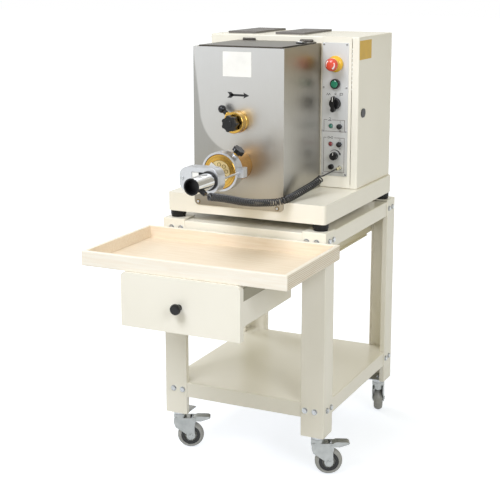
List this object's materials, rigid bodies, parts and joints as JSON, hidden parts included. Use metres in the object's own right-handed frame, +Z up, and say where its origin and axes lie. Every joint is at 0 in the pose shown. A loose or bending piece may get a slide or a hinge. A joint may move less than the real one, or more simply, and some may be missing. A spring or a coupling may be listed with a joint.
{
  "type": "electric pasta maker",
  "caption": "Kneading vat and extruder with a driven cutter in front of the die, on a wheeled stand with an open drawer, a wooden tray and a lower shelf.",
  "frame": {"origin": "middle of the footprint, on the floor", "axes": "+Z up; the front, with the extruder and the drawer, faces -Y; +X is the side with the controls"},
  "size_m": [0.6162, 1.0238, 1.246],
  "materials": {
    "cream_paint": "satin powder coat",
    "stainless": "brushed",
    "zinc_steel": "zinc plated",
    "grey_paint": "satin",
    "plate_grey": "satin",
    "brass": "turned",
    "bronze": "turned",
    "alloy": "turned",
    "black_plastic": "matte",
    "black_gloss": "gloss",
    "rubber": "matte",
    "tyre_grey": "matte",
    "wood": "oiled",
    "red_plastic": "gloss",
    "yellow_plastic": "gloss",
    "green_plastic": "gloss"
  },
  "bodies": {
    "machine": {"stand_legs": "cream_paint", "top_rails": "cream_paint", "lower_shelf": "cream_paint", "frame_fasteners": "zinc_steel", "caster_plates": "zinc_steel", "drawer_carriers": "cream_paint", "base_pan": "cream_paint", "rubber_feet": "rubber", "cabinet": "cream_paint", "top_vents": "grey_paint", "rear_cover": "cream_paint", "control_fascia": "cream_paint", "control_plate": "plate_grey", "stop_collar": "yellow_plastic", "panel_fittings": "black_plastic", "cable_glands": "black_plastic", "vat_jacket": "stainless", "vat_trough": "stainless", "mixer_bush": "brass", "extruder_barrel": "bronze", "clamp_ring": "alloy", "die_plate": "brass", "lid_hinge": "stainless", "drive_unit": "grey_paint", "cutter_rod": "stainless", "cutter_arm": "alloy", "cutter_motor": "stainless", "cord_coil": "rubber", "cord_lead": "rubber", "jack_plug": "brass"},
    "drawer": {"drawer_box": "cream_paint", "drawer_front": "cream_paint", "drawer_knob": "black_gloss", "runner_inners": "zinc_steel"},
    "runner_middle": {"runner_middles": "zinc_steel"},
    "tray": {"tray": "wood"},
    "lid": {"lid": "stainless"},
    "mixer": {"mixer_shaft": "stainless"},
    "auger": {"auger": "stainless"},
    "star_knob": {"star_knob": "black_gloss"},
    "lock_pin": {"lock_pin": "black_gloss"},
    "die_ring": {"die_ring": "brass"},
    "clamp_knob": {"clamp_knob": "black_gloss"},
    "knife": {"knife": "stainless"},
    "stop_button": {"stop_button": "red_plastic"},
    "start_button": {"start_button": "green_plastic"},
    "selector": {"selector_knob": "black_plastic"},
    "toggle_upper": {"toggle_upper": "black_plastic"},
    "toggle_lower": {"toggle_lower": "black_plastic"},
    "speed_knob": {"speed_knob": "black_plastic"},
    "fork_front_left": {"fork_front_left": "grey_paint"},
    "wheel_front_left": {"wheel_front_left": "tyre_grey"},
    "fork_front_right": {"fork_front_right": "grey_paint"},
    "wheel_front_right": {"wheel_front_right": "tyre_grey"},
    "fork_rear_left": {"fork_rear_left": "grey_paint"},
    "wheel_rear_left": {"wheel_rear_left": "tyre_grey"},
    "fork_rear_right": {"fork_rear_right": "grey_paint"},
    "wheel_rear_right": {"wheel_rear_right": "tyre_grey"},
    "pedal_left": {"pedal_left": "grey_paint"},
    "pedal_right": {"pedal_right": "grey_paint"}
  },
  "joints": [
    {"name": "drawer_slide", "type": "slide", "parent": "machine", "child": "drawer", "axis": [0, 1, 0], "range_m": [0, 0.371]},
    {"name": "runner_slide", "type": "slide", "parent": "machine", "child": "runner_middle", "axis": [0, 1, 0], "range_m": [0, 0.1855]},
    {"name": "tray_lift", "type": "slide", "parent": "machine", "child": "tray", "axis": [0, 0, 1], "range_m": [0, 0.06]},
    {"name": "lid_hinge", "type": "hinge", "parent": "machine", "child": "lid", "pos_m": [-0.02113, 0.15859, 1.2255], "axis": [-1, 0, 0], "range_deg": [0, 88]},
    {"name": "mixer_spin", "type": "hinge", "parent": "machine", "child": "mixer", "pos_m": [-0.02113, 0.03109, 1.015], "axis": [0, 1, 0], "continuous": true},
    {"name": "auger_spin", "type": "hinge", "parent": "machine", "child": "auger", "pos_m": [-0.02113, 0.03109, 0.891], "axis": [0, 1, 0], "continuous": true},
    {"name": "star_knob_turn", "type": "hinge", "parent": "machine", "child": "star_knob", "pos_m": [-0.02113, -0.14991, 1.015], "axis": [0, 1, 0], "range_deg": [-180, 180]},
    {"name": "lock_pin_pull", "type": "slide", "parent": "machine", "child": "lock_pin", "axis": [-0.766, 0, 0.6428], "range_m": [0, 0.006], "stiffness_N_per_m": 800},
    {"name": "die_ring_turn", "type": "hinge", "parent": "machine", "child": "die_ring", "pos_m": [-0.02113, -0.21091, 0.891], "axis": [0, 1, 0], "range_deg": [0, 180]},
    {"name": "clamp_knob_turn", "type": "hinge", "parent": "machine", "child": "clamp_knob", "pos_m": [0.02812, -0.19642, 0.95404], "axis": [0.6157, 0, 0.788], "range_deg": [0, 180]},
    {"name": "knife_spin", "type": "hinge", "parent": "machine", "child": "knife", "pos_m": [-0.02113, -0.27292, 0.891], "axis": [0, 1, 0], "continuous": true},
    {"name": "stop_push", "type": "slide", "parent": "machine", "child": "stop_button", "axis": [0, 1, 0], "range_m": [0, 0.004]},
    {"name": "start_push", "type": "slide", "parent": "machine", "child": "start_button", "axis": [0, 1, 0], "range_m": [0, 0.003], "stiffness_N_per_m": 300},
    {"name": "selector_turn", "type": "hinge", "parent": "machine", "child": "selector", "pos_m": [0.16337, 0.15208, 1.047], "axis": [0, 1, 0], "range_deg": [-45, 45]},
    {"name": "toggle_upper_rock", "type": "hinge", "parent": "machine", "child": "toggle_upper", "pos_m": [0.17937, 0.16209, 0.98], "axis": [1, 0, 0], "range_deg": [-12, 12]},
    {"name": "toggle_lower_rock", "type": "hinge", "parent": "machine", "child": "toggle_lower", "pos_m": [0.17937, 0.16209, 0.927], "axis": [1, 0, 0], "range_deg": [-12, 12]},
    {"name": "speed_turn", "type": "hinge", "parent": "machine", "child": "speed_knob", "pos_m": [0.16337, 0.15408, 0.892], "axis": [0, 1, 0], "range_deg": [-135, 135]},
    {"name": "swivel_front_left", "type": "hinge", "parent": "machine", "child": "fork_front_left", "pos_m": [-0.23313, -0.07991, 0.1], "axis": [0, 0, 1], "continuous": true},
    {"name": "roll_front_left", "type": "hinge", "parent": "fork_front_left", "child": "wheel_front_left", "pos_m": [-0.20437, -0.06589, 0.04], "axis": [-0.4384, 0.8988, 0], "continuous": true},
    {"name": "swivel_front_right", "type": "hinge", "parent": "machine", "child": "fork_front_right", "pos_m": [0.21887, -0.07991, 0.1], "axis": [0, 0, 1], "continuous": true},
    {"name": "roll_front_right", "type": "hinge", "parent": "fork_front_right", "child": "wheel_front_right", "pos_m": [0.24763, -0.06589, 0.04], "axis": [-0.4384, 0.8988, 0], "continuous": true},
    {"name": "swivel_rear_left", "type": "hinge", "parent": "machine", "child": "fork_rear_left", "pos_m": [-0.23313, 0.44209, 0.1], "axis": [0, 0, 1], "continuous": true},
    {"name": "roll_rear_left", "type": "hinge", "parent": "fork_rear_left", "child": "wheel_rear_left", "pos_m": [-0.24195, 0.47285, 0.04], "axis": [-0.9613, -0.2756, 0], "continuous": true},
    {"name": "swivel_rear_right", "type": "hinge", "parent": "machine", "child": "fork_rear_right", "pos_m": [0.21887, 0.44209, 0.1], "axis": [0, 0, 1], "continuous": true},
    {"name": "roll_rear_right", "type": "hinge", "parent": "fork_rear_right", "child": "wheel_rear_right", "pos_m": [0.21005, 0.47285, 0.04], "axis": [-0.9613, -0.2756, 0], "continuous": true},
    {"name": "brake_left", "type": "hinge", "parent": "fork_front_left", "child": "pedal_left", "pos_m": [-0.19808, -0.06282, 0.0905], "axis": [-0.4384, 0.8988, 0], "range_deg": [0, 12]},
    {"name": "brake_right", "type": "hinge", "parent": "fork_front_right", "child": "pedal_right", "pos_m": [0.25392, -0.06282, 0.0905], "axis": [-0.4384, 0.8988, 0], "range_deg": [0, 12]}
  ],
  "couplings": [
    {"joint": "runner_slide", "follows": "drawer_slide", "ratio": 0.5},
    {"joint": "auger_spin", "follows": "mixer_spin", "ratio": -1.3846}
  ]
}
